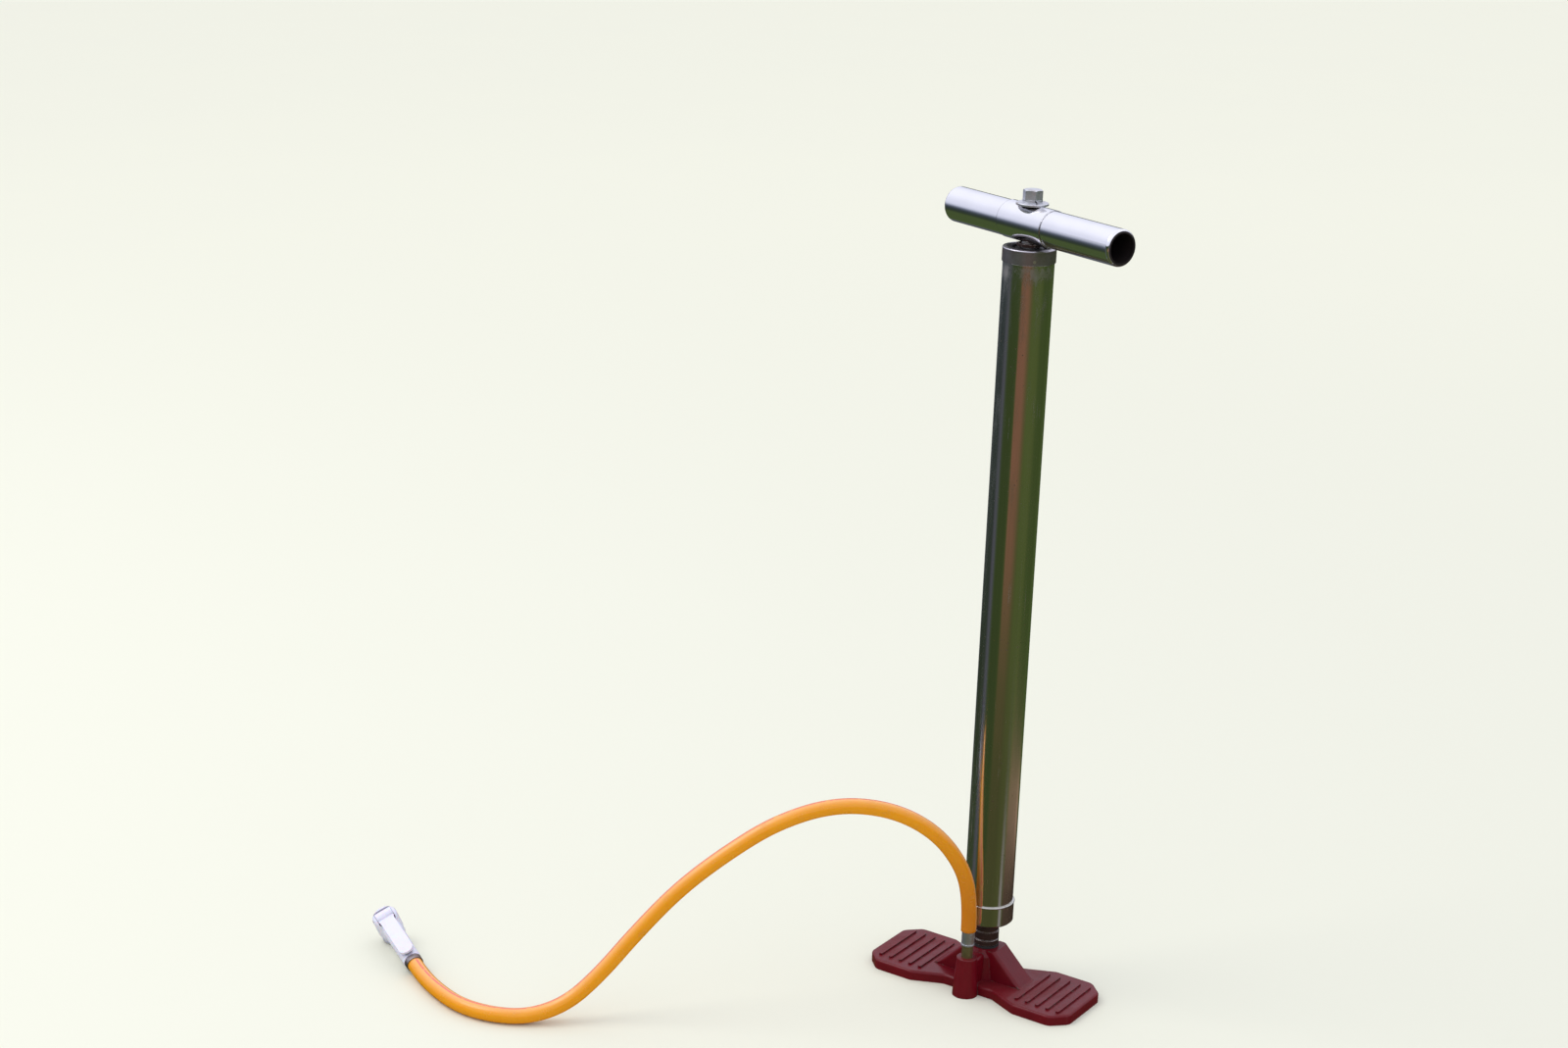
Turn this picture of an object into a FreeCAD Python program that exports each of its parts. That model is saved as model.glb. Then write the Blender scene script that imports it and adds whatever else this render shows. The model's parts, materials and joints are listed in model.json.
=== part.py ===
"""Floor bike pump: steel barrel on a cast foot, T handle, hose with a thumb-lock valve connector.

Millimetres, +Z up. The origin is on the barrel's axis, at the floor. The foot's two treads run
along X and the hose's boss is on the -Y side. The piston stands at the bottom of its stroke.
"""
import FreeCAD
import Part

import math
import os

from FreeCAD import Vector

UP = Vector(0, 0, 1)

# Cast foot
TREAD_REACH = 90.0          # from the axis to a tread's end
TREAD_WIDTH = 72.0
TREAD_CORNER = 12.0
TREAD_TOP = 8.0
TREAD_SKIN = 4.5            # thickness left over the hollow underside
TREAD_WALL = 9.0            # wall left round the hollow
HOLLOW_START = 30.0
WAIST_WIDTH = 50.0
WAIST_END = 22.0            # where the plate starts to widen into a tread
FLARE_END = 46.0
RIBS = 5
RIB_PITCH = 9.0
FIRST_RIB = 44.0
RIB_HALF_WIDTH = 1.5
RIB_HALF_LENGTH = 27.0
RIB_HEIGHT = 1.4
ARM_WIDTH = 22.0
ARM_TOP = 33.2
ARM_SHOULDER = 12.5         # where the arm's top starts to slope down
ARM_SLOPE_END = 38.0
BOSS_TOP = 32.0
BARREL_BOSS_R = 12.0
BARREL_BOSS_STEP_R = 14.6
BARREL_BOSS_STEP = 26.5
BARREL_BOSS_ROOT_R = 17.0
HOSE_BOSS_R = 8.0
HOSE_BOSS_ROOT_R = 10.0
HOSE_Y = -29.0
WEB_HALF = 6.5
WEB_TOP = 29.5
CHAMBER_R = 4.2             # the check ball's chamber
CHAMBER_FLOOR = 11.5
CROSS_HOLE_Z = 14.0
CROSS_HOLE_R = 2.0
PLUG_R = 3.5
PLUG_START = 9.0
PLUG_LENGTH = 8.5
BALL_R = 3.5
BALL_GAP = 0.1
TAIL_R = 4.4                # the pipe that the hose is pushed over
TAIL_BORE_R = 2.2
TAIL_COLLAR_R = 5.0
TAIL_COLLAR_FOOT = 42.3
TAIL_FLANGE_R = 5.4
TAIL_FLANGE = 1.1

# Neck between the foot and the barrel
STEM_R = 7.0
STEM_FOOT = 20.0
GASKET_R = 10.2
GASKET_TOP = 33.9
LOCK_RING_R = 10.0
LOCK_RING_TOP = 38.6
NECK_COLLAR_R = 9.9
NECK_COLLAR_TOP = 45.7
NIPPLE_R = 9.3
NIPPLE_BORE_R = 2.6
CAP_FLOOR = 54.2            # underside of the bottom cap

# Barrel
TUBE_R = 19.0
BORE_R = 17.7
THREAD_R = 18.6             # the tube is turned down to this inside its caps
CAP_R = 20.0
CAP_WALL = 4.0              # thickness of the bottom cap's floor
BEAD_R = 0.7
BOTTOM_CAP_TOP = 71.7
SEAL_BORE_R = 14.0
TUBE_FOOT = 59.7
TUBE_TOP = 583.4
TOP_CAP_R = 19.8
TOP_CAP_FOOT = 577.75
TOP_CAP_TOP = 588.4
TOP_CAP_HOLE_R = 13.0
GRUB_R = 1.2
GRUB_Z = 580.6
GRUB_ANGLE = -49.0          # degrees from +X
BUSH_DEPTH = 10.0
BUSH_TOP = 585.8
BUMPER_R = 10.6
BUMPER_BORE_R = 6.6
BUMPER_TOP = 587.4

# Piston and rod
ROD_R = 6.0
ROD_THREAD_R = 5.0
ROD_FOOT = 60.5
ROD_SHOULDER = 84.0
ROD_END_DROP = 0.6          # from the handle's top line down to the rod's end
ROD_BORE_DEPTH = 28.0
RUNNING_FIT = 0.05
PISTON_NUT_FLATS = 19.0
PISTON_NUT_FOOT = 61.5
PISTON_NUT_TOP = 67.5
PISTON_LOCK_WASHER_R = 9.5
SPREADER_FOOT = 69.0
SPREADER_NECK_R = 9.0
SPREADER_FLARE = 75.0
SPREADER_FLARE_R = 14.0
SPREADER_TOP = 78.0
CUP_R = 17.62               # 0.08 clear of the barrel's bore
CUP_INNER_R = 15.3
CUP_LIP = 66.5
CUP_LIP_WALL = 1.0
CUP_LIP_RISE = 3.5
CUP_TOP = 81.0
TOP_WASHER_R = 14.5
LOCKNUT_FLATS = 17.0
LOCKNUT_THICK = 2.7

# Handle
HANDLE_Z = 605.1
HANDLE_TURN = -21.5         # degrees from +X
BAR_R = 13.4
BAR_WALL = 1.5
BAR_LENGTH = 187.0
BAR_OFFSET = 6.5
BAR_MOUTH_R = 10.8
SLEEVE_R = 13.95
SLEEVE_LENGTH = 49.0
SLEEVE_OFFSET = 1.0
BOLT_SLOT_R = 7.6           # the hole under the washer, in the bar and the sleeve
WASHER_R = 12.0
WASHER_THICK = 1.6
LOCK_WASHER_R = 7.4
LOCK_WASHER_THICK = 2.2
BOLT_FLATS = 13.0
BOLT_HEAD = 7.3
BOLT_R = 4.0
BOLT_REACH = 24.0           # how far the bolt goes down into the rod
WASHER_BORE_R = 4.2

# Hose: the corners of its route, from the tail on the foot to the connector
HOSE_R = 6.0
ARC_SHARE = 0.45
HOSE_START = 54.3
ROUTE = [
    (0, HOSE_Y, HOSE_START),
    (0, HOSE_Y, 79),
    (-5.5, -34.5, 109),
    (-21.5, -51.5, 139.5),
    (-46.5, -77.5, 160),
    (-77, -109, 166),
    (-107.5, -141.5, 154),
    (-134.5, -169.5, 130),
    (-159, -194, 103),
    (-181, -217, 69),
    (-199, -237, 37),
    (-215, -256.5, 15),
    (-235, -277.5, 6),
    (-259, -292, 6),
    (-287.5, -295.5, 6),
    (-317, -287.5, 6),
    (-343.9, -275.3, 6),
    (-356.9, -268.6, 8.2),
]

# Connector: along its own axis from the hose's end, and up from that axis towards the lever
CONNECTOR_ROLL = -25.0      # the head lies over on its collar's rim
FERRULE_LENGTH = 5.0
FERRULE_R = 6.9
BARB_R = 3.0
BARB_LENGTH = 16.0
BARB_BORE_R = 1.2
AIRWAY_R = 1.5
SHANK_R = 7.1               # the connector's shank at the ferrule
SHANK_HEAD_R = 7.8          # and at the head
SHANK_FLAT = 6.6            # its top is flat under the lever
HEAD_AT = 61.0
HEAD_R = 10.2
HEAD_FOOT = -6.8
HEAD_TOP = 11.4
HEAD_ROUNDING = 4.5
SPIGOT_R = 8.0              # the collar screws on to this
COLLAR_R = 9.6
COLLAR_FOOT = -14.2
COLLAR_TOP = -6.9
FLUTES = 20
FLUTE_R = 0.8
GROMMET_R = 6.2
GROMMET_FOOT = -12.0
GROMMET_TOP = -6.5
VALVE_R = 3.9
PLUNGER_R = 3.42
PLUNGER_FOOT = -5.0
PLUNGER_FLANGE_R = 6.0
PLUNGER_FLANGE_TOP = -3.0
PLUNGER_TOP = 3.45
LEVER_PIN_UP = 8.0
LEVER_PIN_R = 1.5
LEVER_PIN_HALF = 9.6
KNUCKLE_R = 4.6
KNUCKLE_HALF = 6.9
CAM_R = 4.0
CAM_OFFSET = 1.2
LEVER_HALF = 5.8            # half the width of the lever's arm
LEVER_TIP_AT = 5.3
LEVER_UNDER = 7.2
SHOULDER_AT = 4.0           # behind the pin, where the lever starts to narrow
SHOULDER_END = 9.0
CLEAR = 20.0                # a length that reaches past whatever is being cut


def cyl(r, z0, z1, x=0.0, y=0.0):
    return Part.makeCylinder(r, z1 - z0, Vector(x, y, z0), UP)


def cone(r0, r1, z0, z1, x=0.0, y=0.0):
    return Part.makeCone(r0, r1, z1 - z0, Vector(x, y, z0), UP)


def ring(outer, inner, z0, z1, x=0.0, y=0.0):
    return cyl(outer, z0, z1, x, y).cut(cyl(inner, z0 - 1, z1 + 1, x, y))


def rod_along(r, start, direction, length):
    return Part.makeCylinder(r, length, start, direction)


def box(x0, x1, y0, y1, z0, z1):
    return Part.makeBox(x1 - x0, y1 - y0, z1 - z0, Vector(x0, y0, z0))


def hexagon(flats, z0, z1, turn=0.0):
    corner = flats / math.sqrt(3)
    angles = [math.radians(turn + 60 * i) for i in range(7)]
    points = [Vector(corner * math.cos(a), corner * math.sin(a), z0) for a in angles]
    return Part.Face(Part.makePolygon(points)).extrude(Vector(0, 0, z1 - z0))


def chamfered_hexagon(flats, z0, z1, turn, top, bottom):
    """A hexagon with its corners turned off at the top, the bottom or both."""
    body = hexagon(flats, z0, z1, turn)
    rise = z1 - z0
    reach = flats / 2 + rise * 2
    if top:
        body = body.common(cone(reach, flats / 2 - 0.4, z0 - 0.2, z1, 0, 0))
    if bottom:
        body = body.common(cone(flats / 2 - 0.4, reach, z0, z1 + 0.2, 0, 0))
    return body


def circles_at(shape, z, radius=None, centre=(0.0, 0.0)):
    """The shape's full circular edges at one height, optionally of one radius."""
    found = []
    for edge in shape.Edges:
        if not isinstance(edge.Curve, Part.Circle):
            continue
        middle = edge.Curve.Center
        if abs(middle.z - z) > 0.01:
            continue
        if math.hypot(middle.x - centre[0], middle.y - centre[1]) > 0.01:
            continue
        if radius is None or abs(edge.Curve.Radius - radius) < 0.01:
            found.append(edge)
    return found


def ring_from(body, hole):
    """The body with a hole down the main axis, right through it."""
    extent = body.BoundBox
    return body.cut(cyl(hole, extent.ZMin - 1, extent.ZMax + 1))


def revolved(points):
    """A solid of revolution about Z from (radius, height) corners."""
    corners = [Vector(r, 0, z) for r, z in points]
    face = Part.Face(Part.makePolygon(corners + corners[:1]))
    return face.revolve(Vector(0, 0, 0), UP, 360)


# Foot

def tread_outline():
    half_waist = WAIST_WIDTH / 2
    half_width = TREAD_WIDTH / 2
    right = [
        Vector(WAIST_END, -half_waist, 0),
        Vector(FLARE_END, -half_width, 0),
        Vector(TREAD_REACH - TREAD_CORNER, -half_width, 0),
        Vector(TREAD_REACH, -half_width + TREAD_CORNER, 0),
        Vector(TREAD_REACH, half_width - TREAD_CORNER, 0),
        Vector(TREAD_REACH - TREAD_CORNER, half_width, 0),
        Vector(FLARE_END, half_width, 0),
        Vector(WAIST_END, half_waist, 0),
    ]
    left = [Vector(-p.x, p.y, 0) for p in reversed(right)]
    return right + left


def foot_plate():
    outline = tread_outline()
    plate = Part.Face(Part.makePolygon(outline + outline[:1])).extrude(Vector(0, 0, TREAD_TOP))
    upright = [e for e in plate.Edges if abs(e.Vertexes[0].Z - e.Vertexes[1].Z) > 1]
    plate = plate.makeFillet(8.0, upright)
    rim = [e for e in plate.Edges if e.BoundBox.ZMin > TREAD_TOP - 0.01]
    return plate.makeFillet(2.0, rim)


def underside_hollow(side):
    half_width = TREAD_WIDTH / 2 - TREAD_WALL
    inner = box(HOLLOW_START, TREAD_REACH - TREAD_WALL, -half_width, half_width, -1, TREAD_TOP - TREAD_SKIN)
    upright = [e for e in inner.Edges if abs(e.Vertexes[0].Z - e.Vertexes[1].Z) > 1]
    inner = inner.makeFillet(6.0, upright)
    return inner if side > 0 else inner.mirror(Vector(0, 0, 0), Vector(1, 0, 0))


def tread_ribs(side):
    """Anti-slip bars across a tread."""
    ribs = []
    for i in range(RIBS):
        x = side * (FIRST_RIB + RIB_PITCH * i)
        rib = box(x - RIB_HALF_WIDTH, x + RIB_HALF_WIDTH, -RIB_HALF_LENGTH, RIB_HALF_LENGTH,
                  TREAD_TOP - 1, TREAD_TOP + RIB_HEIGHT)
        ends = [e for e in rib.Edges if abs(e.Vertexes[0].Z - e.Vertexes[1].Z) > 1]
        ribs.append(rib.makeFillet(RIB_HALF_WIDTH - 0.1, ends))
    return ribs


def arm(side):
    """The sloping arm from the barrel's boss down to a tread."""
    inside = ARM_SHOULDER / 2
    end = ARM_SLOPE_END + 4
    corners = [(inside, 2), (inside, ARM_TOP), (ARM_SHOULDER, ARM_TOP),
               (ARM_SLOPE_END, TREAD_TOP + 0.6), (end, TREAD_TOP - 1), (end, 2)]
    corners = [Vector(side * x, -ARM_WIDTH / 2, z) for x, z in corners + corners[:1]]
    body = Part.Face(Part.makePolygon(corners)).extrude(Vector(0, ARM_WIDTH, 0))
    slopes = [e for e in body.Edges if e.BoundBox.YLength < 0.01 and e.BoundBox.XLength > 24
              and e.BoundBox.ZLength > 20]
    return body.makeFillet(3.0, slopes)


def bosses():
    barrel_boss = cone(BARREL_BOSS_ROOT_R, BARREL_BOSS_STEP_R, 2, BARREL_BOSS_STEP)
    barrel_boss = barrel_boss.fuse(cone(BARREL_BOSS_STEP_R, BARREL_BOSS_R, BARREL_BOSS_STEP, BOSS_TOP))
    hose_boss = cone(HOSE_BOSS_ROOT_R, HOSE_BOSS_R, 0, BOSS_TOP, 0, HOSE_Y)
    hose_boss = hose_boss.makeFillet(1.0, circles_at(hose_boss, BOSS_TOP, HOSE_BOSS_R, (0, HOSE_Y)))
    return barrel_boss.fuse(hose_boss)


def boss_web():
    """The web over the air passage, between the two bosses."""
    web = box(-WEB_HALF, WEB_HALF, HOSE_Y + 2, -HOSE_BOSS_R, 2, WEB_TOP)
    along = [e for e in web.Edges if e.BoundBox.YLength > 10 and e.BoundBox.ZMin > WEB_TOP - 0.5]
    return web.makeFillet(3.0, along)


def air_passages():
    return [
        cyl(STEM_R, STEM_FOOT, BOSS_TOP + 5),
        cyl(CHAMBER_R, CHAMBER_FLOOR, STEM_FOOT),
        cyl(TAIL_R, STEM_FOOT, BOSS_TOP + 5, 0, HOSE_Y),
        cyl(TAIL_BORE_R, CROSS_HOLE_Z - 3, STEM_FOOT, 0, HOSE_Y),
        rod_along(CROSS_HOLE_R, Vector(0, HOSE_Y, CROSS_HOLE_Z), Vector(0, 1, 0), PLUG_START - HOSE_Y),
        rod_along(PLUG_R, Vector(0, PLUG_START, CROSS_HOLE_Z), Vector(0, 1, 0), CLEAR),
    ]


def foot_casting():
    body = foot_plate()
    for side in (1, -1):
        body = body.fuse(arm(side))
        for rib in tread_ribs(side):
            body = body.fuse(rib)
    body = body.fuse(bosses())
    body = body.fuse(boss_web())
    body = body.cut(cyl(CAP_R, BOSS_TOP, BOSS_TOP + 10))
    for side in (1, -1):
        body = body.cut(underside_hollow(side))
    for cut in air_passages():
        body = body.cut(cut)
    return body.removeSplitter()


def passage_plug():
    """The screw that closes the drilled end of the cross passage."""
    plug = rod_along(PLUG_R, Vector(0, PLUG_START, CROSS_HOLE_Z), Vector(0, 1, 0), PLUG_LENGTH)
    end = PLUG_START + PLUG_LENGTH
    return plug.cut(box(-4, 4, end - 1.2, end + 1, CROSS_HOLE_Z - 0.5, CROSS_HOLE_Z + 0.5))


def check_ball():
    return Part.makeSphere(BALL_R, Vector(0, 0, CHAMBER_FLOOR + BALL_R + BALL_GAP))


# Neck

def neck_ring(outer, z0, z1, soft_edge):
    body = ring(outer, STEM_R, z0, z1)
    edges = circles_at(body, z0, outer) + circles_at(body, z1, outer)
    return body.makeChamfer(soft_edge, edges)


def base_gasket():
    return ring(GASKET_R, STEM_R, BOSS_TOP, GASKET_TOP)


def lock_ring():
    return neck_ring(LOCK_RING_R, GASKET_TOP, LOCK_RING_TOP, 0.5)


def neck_collar():
    return neck_ring(NECK_COLLAR_R, LOCK_RING_TOP, NECK_COLLAR_TOP, 0.6)


def neck_nipple():
    body = cyl(STEM_R, STEM_FOOT, CAP_FLOOR + 5)
    body = body.fuse(cyl(NIPPLE_R, NECK_COLLAR_TOP, CAP_FLOOR))
    body = body.cut(cyl(NIPPLE_BORE_R, STEM_FOOT - 1, CAP_FLOOR + 6))
    seat = cone(NIPPLE_BORE_R + 0.8, NIPPLE_BORE_R, STEM_FOOT, STEM_FOOT + 1)
    return body.cut(seat)


# Barrel

def bottom_cap():
    body = cyl(CAP_R, CAP_FLOOR, BOTTOM_CAP_TOP)
    body = body.makeChamfer(1.4, circles_at(body, CAP_FLOOR, CAP_R))
    body = body.cut(cyl(THREAD_R, CAP_FLOOR + CAP_WALL, BOTTOM_CAP_TOP + 1))
    body = body.cut(cyl(STEM_R, CAP_FLOOR - 1, CAP_FLOOR + 6))
    bead = Part.makeTorus(CAP_R - 0.2, BEAD_R, Vector(0, 0, BOTTOM_CAP_TOP - BEAD_R), UP)
    bead = bead.cut(cyl(TUBE_R, BOTTOM_CAP_TOP - 3, BOTTOM_CAP_TOP + 3))
    return body.fuse(bead)


def barrel_seal():
    return ring(THREAD_R, SEAL_BORE_R, CAP_FLOOR + CAP_WALL, TUBE_FOOT)


def barrel_tube():
    points = [
        (BORE_R, TUBE_FOOT),
        (THREAD_R, TUBE_FOOT),
        (THREAD_R, BOTTOM_CAP_TOP),
        (TUBE_R, BOTTOM_CAP_TOP),
        (TUBE_R, TOP_CAP_FOOT - 0.4),
        (THREAD_R, TOP_CAP_FOOT - 0.4),
        (THREAD_R, TUBE_TOP),
        (BORE_R, TUBE_TOP),
    ]
    return revolved(points)


def top_cap():
    body = cyl(TOP_CAP_R, TOP_CAP_FOOT, TOP_CAP_TOP)
    body = body.makeFillet(0.9, circles_at(body, TOP_CAP_TOP, TOP_CAP_R))
    body = body.cut(cyl(THREAD_R, TOP_CAP_FOOT - 1, TUBE_TOP))
    body = body.cut(cyl(TOP_CAP_HOLE_R, TUBE_TOP - 1, TOP_CAP_TOP + 1))
    rim = circles_at(body, TOP_CAP_TOP, TOP_CAP_HOLE_R)
    body = body.makeChamfer(0.5, rim)
    return body.cut(grub_cylinder(4))


def grub_cylinder(length):
    """A short radial cylinder through the top cap's skirt, at the grub screw's place."""
    angle = math.radians(GRUB_ANGLE)
    outward = Vector(math.cos(angle), math.sin(angle), 0)
    start = outward * (TOP_CAP_R - 1.1) + Vector(0, 0, GRUB_Z)
    return rod_along(GRUB_R, start, outward, length)


def cap_grub_screw():
    return grub_cylinder(1.0)


def guide_bush():
    body = cyl(BORE_R, TUBE_TOP - BUSH_DEPTH, TUBE_TOP)
    body = body.fuse(cyl(TOP_CAP_HOLE_R, TUBE_TOP, BUSH_TOP))
    return ring_from(body, ROD_R + RUNNING_FIT)


def top_bumper():
    """The rubber ring that the handle's nut comes down on."""
    body = ring(BUMPER_R, BUMPER_BORE_R, BUSH_TOP, BUMPER_TOP)
    return body.makeFillet(0.5, circles_at(body, BUMPER_TOP))


# Piston

def piston_nut():
    body = chamfered_hexagon(PISTON_NUT_FLATS, PISTON_NUT_FOOT, PISTON_NUT_TOP, 10, True, True)
    return ring_from(body, ROD_THREAD_R + RUNNING_FIT)


def piston_lock_washer():
    return ring(PISTON_LOCK_WASHER_R, ROD_THREAD_R + RUNNING_FIT, PISTON_NUT_TOP, SPREADER_FOOT)


def piston_spreader():
    body = cyl(SPREADER_NECK_R, SPREADER_FOOT, SPREADER_FLARE)
    body = body.fuse(cone(SPREADER_FLARE_R, CUP_INNER_R - 0.1, SPREADER_FLARE, SPREADER_TOP))
    return ring_from(body, ROD_THREAD_R + RUNNING_FIT)


def piston_cup():
    """The leather cup, its lip towards the air that it presses."""
    body = cyl(CUP_R, CUP_LIP, CUP_TOP)
    body = body.makeFillet(2.0, circles_at(body, CUP_TOP, CUP_R))
    flare_end = CUP_LIP + CUP_LIP_RISE
    body = body.cut(cone(CUP_R - CUP_LIP_WALL, CUP_INNER_R, CUP_LIP - 0.1, flare_end))
    body = body.cut(cyl(CUP_INNER_R, flare_end - 0.1, SPREADER_TOP))
    return ring_from(body, ROD_THREAD_R + RUNNING_FIT)


def piston_top_washer():
    return ring(TOP_WASHER_R, ROD_THREAD_R + RUNNING_FIT, CUP_TOP, ROD_SHOULDER - RUNNING_FIT)


def rod_top():
    return HANDLE_Z + BAR_R - ROD_END_DROP


def piston_rod():
    body = cyl(ROD_THREAD_R, ROD_FOOT, ROD_SHOULDER)
    body = body.fuse(cyl(ROD_R, ROD_SHOULDER, rod_top()))
    body = body.makeChamfer(0.8, circles_at(body, ROD_FOOT, ROD_THREAD_R))
    return body.cut(cyl(BOLT_R, rod_top() - ROD_BORE_DEPTH, rod_top() + 1))


# Handle

def turned(shape):
    shape.rotate(Vector(0, 0, 0), UP, HANDLE_TURN)
    return shape


def laid_along_x(shape):
    """Turns a shape made along Z onto the handle's line along X."""
    shape.rotate(Vector(0, 0, 0), Vector(0, 1, 0), 90)
    shape.translate(Vector(0, 0, HANDLE_Z))
    return shape


def drilled(shape):
    """The rod's hole from below and the wider hole under the bolt's washer."""
    shape = shape.cut(cyl(BOLT_SLOT_R, HANDLE_Z, HANDLE_Z + CLEAR))
    return shape.cut(cyl(ROD_R, HANDLE_Z - CLEAR, HANDLE_Z))


def bar_blank(radius, mouth, length):
    """A round bar whose two ends roll in to the mouth's radius."""
    roll = radius - mouth
    half = length / 2
    corner = [
        Part.LineSegment(Vector(0, 0, -half), Vector(mouth, 0, -half)),
        Part.Arc(Vector(mouth, 0, -half),
                 Vector(mouth + roll * math.sin(math.pi / 4), 0, -half + roll * (1 - math.cos(math.pi / 4))),
                 Vector(radius, 0, -half + roll)),
        Part.LineSegment(Vector(radius, 0, -half + roll), Vector(radius, 0, half - roll)),
        Part.Arc(Vector(radius, 0, half - roll),
                 Vector(mouth + roll * math.sin(math.pi / 4), 0, half - roll * (1 - math.cos(math.pi / 4))),
                 Vector(mouth, 0, half)),
        Part.LineSegment(Vector(mouth, 0, half), Vector(0, 0, half)),
        Part.LineSegment(Vector(0, 0, half), Vector(0, 0, -half)),
    ]
    wire = Part.Wire([piece.toShape() for piece in corner])
    return Part.Face(wire).revolve(Vector(0, 0, 0), UP, 360)


def handle_bar():
    body = bar_blank(BAR_R, BAR_MOUTH_R, BAR_LENGTH)
    inner = bar_blank(BAR_R - BAR_WALL, BAR_MOUTH_R, BAR_LENGTH - 2 * BAR_WALL)
    body = body.cut(inner)
    body = body.cut(cyl(BAR_MOUTH_R, -BAR_LENGTH, BAR_LENGTH))
    body.translate(Vector(0, 0, BAR_OFFSET))
    body = laid_along_x(body)
    return turned(drilled(body))


def handle_sleeve():
    low = SLEEVE_OFFSET - SLEEVE_LENGTH / 2
    high = SLEEVE_OFFSET + SLEEVE_LENGTH / 2
    body = cyl(SLEEVE_R, low, high)
    body = body.makeFillet(0.35, circles_at(body, low, SLEEVE_R) + circles_at(body, high, SLEEVE_R))
    body = body.cut(cyl(BAR_R, low - 1, high + 1))
    body = laid_along_x(body)
    return turned(drilled(body))


def washer_seat():
    """The height of the washer's underside, where its rim meets the sleeve's top line."""
    return HANDLE_Z + SLEEVE_R


def handle_washer():
    seat = washer_seat()
    body = ring(WASHER_R, WASHER_BORE_R, seat, seat + WASHER_THICK)
    return body.makeFillet(0.5, circles_at(body, seat + WASHER_THICK, WASHER_R))


def handle_lock_washer():
    """A split spring washer under the bolt's head."""
    low = washer_seat() + WASHER_THICK
    body = ring(LOCK_WASHER_R, BOLT_R + 0.15, low, low + LOCK_WASHER_THICK)
    slit = box(0, LOCK_WASHER_R + 1, -0.5, 0.5, -4, 4)
    slit.rotate(Vector(0, 0, 0), Vector(1, 0, 0), 35)
    slit.rotate(Vector(0, 0, 0), UP, -40)
    slit.translate(Vector(0, 0, low + LOCK_WASHER_THICK / 2))
    return body.cut(slit)


def handle_bolt():
    under = washer_seat() + WASHER_THICK + LOCK_WASHER_THICK
    head = chamfered_hexagon(BOLT_FLATS, under, under + BOLT_HEAD, 14, True, False)
    return head.fuse(cyl(BOLT_R, rod_top() - BOLT_REACH, under))


def rod_locknut():
    top = HANDLE_Z - SLEEVE_R
    body = chamfered_hexagon(LOCKNUT_FLATS, top - LOCKNUT_THICK, top, 22, False, True)
    return ring_from(body, ROD_R)


# Hose

def direction(a, b):
    return (b - a).normalize()


def hose_path():
    """Straight runs joined by tangent arcs, each arc as large as its two runs allow."""
    corners = [Vector(*p) for p in ROUTE]
    edges = []
    radii = []
    at = corners[0]
    for i in range(1, len(corners) - 1):
        before = direction(corners[i - 1], corners[i])
        after = direction(corners[i], corners[i + 1])
        turn = before.getAngle(after)
        run_in = (corners[i] - corners[i - 1]).Length
        run_out = (corners[i + 1] - corners[i]).Length
        setback = ARC_SHARE * min(run_in, run_out)
        radius = setback / math.tan(turn / 2)
        radii.append(radius)
        enter = corners[i] - before * setback
        leave = corners[i] + after * setback
        inward = (after - before).normalize()
        depth = radius / math.cos(turn / 2) - radius
        edges.append(Part.LineSegment(at, enter).toShape())
        edges.append(Part.Arc(enter, corners[i] + inward * depth, leave).toShape())
        at = leave
    edges.append(Part.LineSegment(at, corners[-1]).toShape())
    return Part.Wire(edges), radii


def hose():
    path, radii = hose_path()
    section = Part.Wire([Part.makeCircle(HOSE_R, Vector(*ROUTE[0]), UP)])
    body = path.makePipeShell([section], True, False)
    body = Part.Solid(body) if body.ShapeType == "Shell" else body
    expected = math.pi * HOSE_R ** 2 * path.Length
    print("hose length %.1f, radii %s" % (path.Length, [round(r) for r in radii]))
    print("hose volume %.0f, section times length %.0f" % (body.Volume, expected))
    return body


def hose_tail():
    return ring(TAIL_R, TAIL_BORE_R, STEM_FOOT, HOSE_START, 0, HOSE_Y)


def tail_collar():
    body = ring(TAIL_COLLAR_R, TAIL_R, TAIL_COLLAR_FOOT, HOSE_START, 0, HOSE_Y)
    flange = ring(TAIL_FLANGE_R, TAIL_R, TAIL_COLLAR_FOOT, TAIL_COLLAR_FOOT + TAIL_FLANGE, 0, HOSE_Y)
    return body.fuse(flange)


# Connector: made upright in its own frame, then laid at the hose's end.
# Its own X runs from the hose to the head, and its own Z towards the lever's side.

def connector_placement():
    end = Vector(*ROUTE[-1])
    along = direction(Vector(*ROUTE[-2]), end)
    side = UP.cross(along).normalize()
    raised = along.cross(side)
    rows = (along.x, side.x, raised.x, end.x,
            along.y, side.y, raised.y, end.y,
            along.z, side.z, raised.z, end.z,
            0, 0, 0, 1)
    roll = FreeCAD.Placement(Vector(0, 0, 0), FreeCAD.Rotation(Vector(1, 0, 0), CONNECTOR_ROLL))
    return FreeCAD.Placement(FreeCAD.Matrix(*rows)).multiply(roll)


def placed(shape):
    shape.Placement = connector_placement().multiply(shape.Placement)
    return shape


def along_x(r, x0, x1):
    return Part.makeCylinder(r, x1 - x0, Vector(x0, 0, 0), Vector(1, 0, 0))


def across(r, half, x, z):
    return Part.makeCylinder(r, 2 * half, Vector(x, -half, z), Vector(0, 1, 0))


def at_head(r, z0, z1):
    return cyl(r, z0, z1, HEAD_AT)


def chuck_ferrule():
    body = along_x(FERRULE_R, 0, FERRULE_LENGTH)
    ends = [e for e in body.Edges if isinstance(e.Curve, Part.Circle)]
    body = body.makeFillet(0.6, ends)
    return placed(body.cut(along_x(BARB_R, -1, FERRULE_LENGTH + 1)))


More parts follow.
